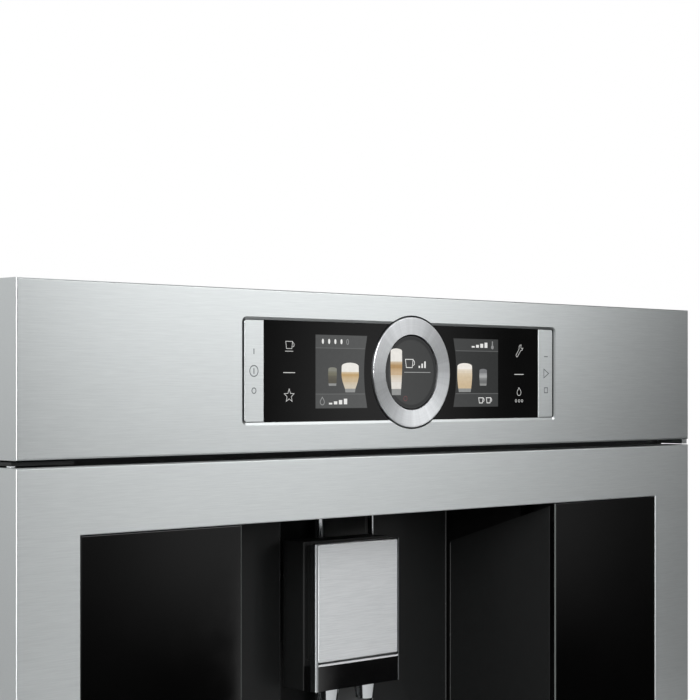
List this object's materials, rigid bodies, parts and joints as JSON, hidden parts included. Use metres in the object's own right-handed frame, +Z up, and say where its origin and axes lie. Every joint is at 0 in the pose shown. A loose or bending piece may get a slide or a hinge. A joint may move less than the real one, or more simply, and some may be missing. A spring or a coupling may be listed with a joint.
{
  "type": "built-in coffee machine",
  "caption": "Built-in bean-to-cup coffee machine with a steel control panel, a hinged glass door, an open cup niche and a sliding coffee dispenser.",
  "frame": {"origin": "centre of the bounding box at the base, on the shelf", "axes": "+X to the machine's right as seen from the front, +Y to the back, +Z up; the front faces -Y"},
  "size_m": [0.594, 0.3774, 0.455],
  "materials": {
    "steel": "horizontal brushing",
    "ring_metal": "circular brushing",
    "bright_trim": "polished",
    "black_glass": "black backed glass",
    "display": "display window",
    "black_plastic": "fine texture",
    "gloss_black": "polished",
    "niche_grey": "satin",
    "float_red": "plain",
    "light_lens": "frosted",
    "clear_plastic": "tinted clear plastic",
    "milk_white": "plain",
    "burr_steel": "turned",
    "motor_metal": "plain",
    "dark_metal": "black coated",
    "zinc": "zinc coated sheet",
    "cast_alu": "cast",
    "board_green": "circuit board",
    "foot_rubber": "plain"
  },
  "bodies": {
    "machine": {"panel_fascia": "steel", "guide_rods": "bright_trim", "panel_glass": "black_glass", "centre_display": "display", "side_displays": "display", "panel_housing": "black_plastic", "front_bulkhead": "black_plastic", "niche_liner": "black_plastic", "niche_cheeks": "niche_grey", "niche_back_panels": "niche_grey", "shaft_liner": "niche_grey", "drip_tray": "black_plastic", "grounds_container": "black_plastic", "niche_light": "light_lens", "water_tank": "clear_plastic", "tank_lid": "black_plastic", "milk_container": "milk_white", "milk_lid": "black_plastic", "bean_container": "clear_plastic", "bean_lid": "black_plastic", "grinder_housing": "black_plastic", "grinder_bracket": "zinc", "grinder_motor": "motor_metal", "brew_frame": "black_plastic", "brew_cylinder": "milk_white", "brew_motor": "motor_metal", "water_pump": "motor_metal", "thermoblock": "cast_alu", "power_board": "board_green", "control_board": "board_green", "power_inlet": "black_plastic", "hinge_brackets": "dark_metal", "hinge_pins": "burr_steel", "base_pan": "zinc", "left_side_panel": "zinc", "right_side_panel": "zinc", "rear_panel": "zinc", "top_cover": "zinc", "cover_screws": "burr_steel", "feet": "foot_rubber"},
    "door": {"door_frame": "steel", "door_inner_frame": "black_plastic", "door_back_cover": "black_plastic", "left_door_glass": "black_glass", "right_door_glass": "black_glass", "door_magnets": "zinc"},
    "ring": {"control_ring": "ring_metal"},
    "power_key": {"power_button": "steel"},
    "start_key": {"start_button": "steel"},
    "dispenser": {"dispenser_housing": "black_plastic", "dispenser_plate": "steel", "dispenser_chin": "gloss_black", "dispenser_trim": "bright_trim", "coffee_spouts": "bright_trim"},
    "grille": {"drip_grille": "steel"},
    "float": {"drip_float": "float_red"},
    "grind_ring": {"upper_burr": "burr_steel"},
    "grind_cone": {"lower_burr": "burr_steel"},
    "spindle": {"brew_spindle": "burr_steel"},
    "piston": {"brew_piston": "black_plastic"}
  },
  "joints": [
    {"name": "door_hinge", "type": "hinge", "parent": "machine", "child": "door", "pos_m": [-0.2915, -0.1753, 0.18], "axis": [0, 0, -1], "range_deg": [0, 110]},
    {"name": "ring_turn", "type": "hinge", "parent": "machine", "child": "ring", "pos_m": [0, -0.1883, 0.407], "axis": [0, -1, 0], "continuous": true},
    {"name": "power_press", "type": "slide", "parent": "machine", "child": "power_key", "axis": [0, 1, 0], "range_m": [0, 0.001], "stiffness_N_per_m": 400, "springref_m": -0.001},
    {"name": "start_press", "type": "slide", "parent": "machine", "child": "start_key", "axis": [0, 1, 0], "range_m": [0, 0.001], "stiffness_N_per_m": 400, "springref_m": -0.001},
    {"name": "dispenser_height", "type": "slide", "parent": "machine", "child": "dispenser", "axis": [0, 0, 1], "range_m": [-0.075, 0.012]},
    {"name": "grille_lift", "type": "slide", "parent": "machine", "child": "grille", "axis": [0, 0, 1], "range_m": [0, 0.05]},
    {"name": "float_rise", "type": "slide", "parent": "machine", "child": "float", "axis": [0, 0, 1], "range_m": [0, 0.008]},
    {"name": "grind_setting", "type": "hinge", "parent": "machine", "child": "grind_ring", "pos_m": [0.2129, -0.0053, 0.24], "axis": [0, 0, 1], "range_deg": [-30, 30]},
    {"name": "grinder_spin", "type": "hinge", "parent": "machine", "child": "grind_cone", "pos_m": [0.2129, -0.0053, 0.24], "axis": [0, 0, 1], "continuous": true},
    {"name": "spindle_turn", "type": "hinge", "parent": "machine", "child": "spindle", "pos_m": [0.045, -0.0083, 0.2], "axis": [0, 0, 1], "range_deg": [0, 1585]},
    {"name": "piston_press", "type": "slide", "parent": "machine", "child": "piston", "axis": [0, 0, -1], "range_m": [0, 0.044]}
  ],
  "couplings": [
    {"joint": "spindle_turn", "follows": "piston_press", "rad_per_m": 628.32}
  ]
}
